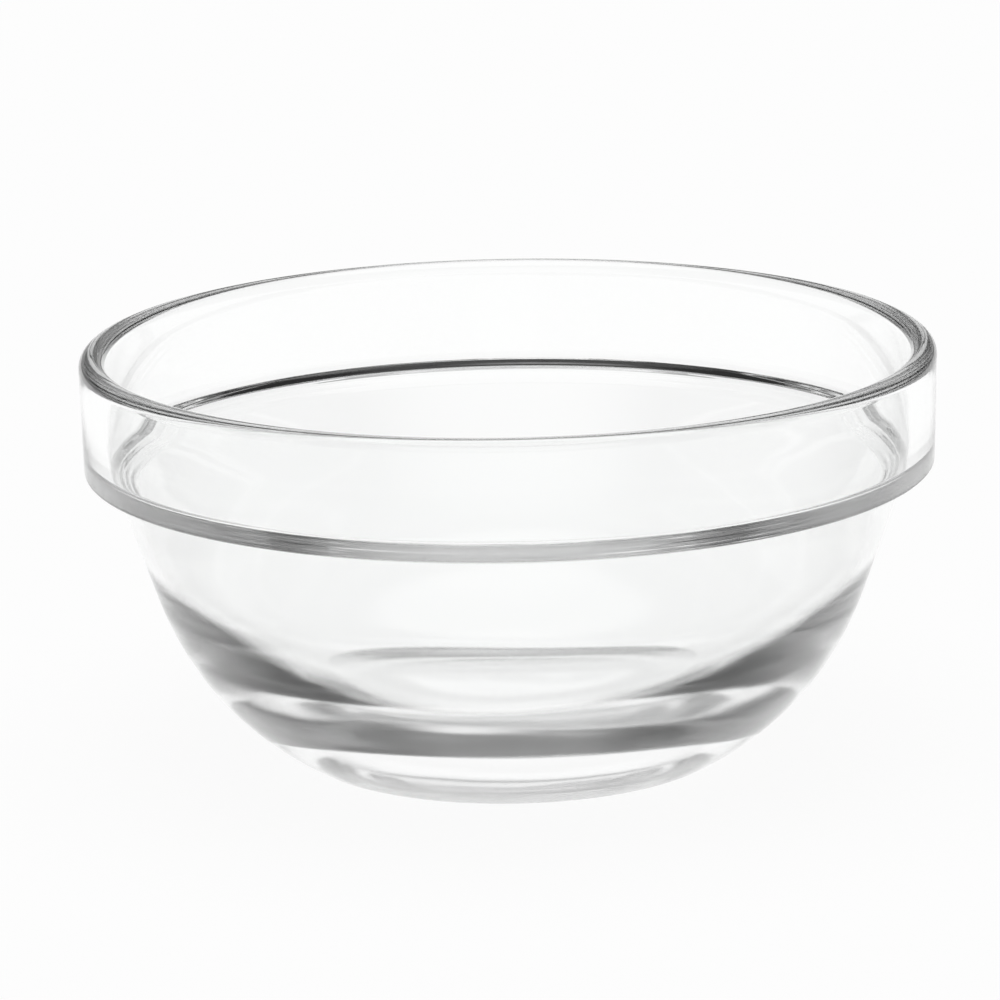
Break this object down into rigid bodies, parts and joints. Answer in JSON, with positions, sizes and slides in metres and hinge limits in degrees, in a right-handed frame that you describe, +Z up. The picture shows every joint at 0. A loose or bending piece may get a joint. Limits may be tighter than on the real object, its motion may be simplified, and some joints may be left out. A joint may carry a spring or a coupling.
{
  "type": "prep bowl",
  "caption": "Stacking prep bowl in clear pressed glass: upright collar over a shoulder, flared wall, round belly and a base with a shallow recess and a standing ring.",
  "frame": {"origin": "centre of the base, on the plane that the bowl stands on", "axes": "+Z up along the bowl's axis of revolution, +X to the right and +Y away from the viewer of the picture"},
  "size_m": [0.105, 0.105, 0.051],
  "materials": {
    "clear_glass": "fire-polished"
  },
  "bodies": {
    "root": {"glass_bowl": "clear_glass"}
  },
  "joints": []
}
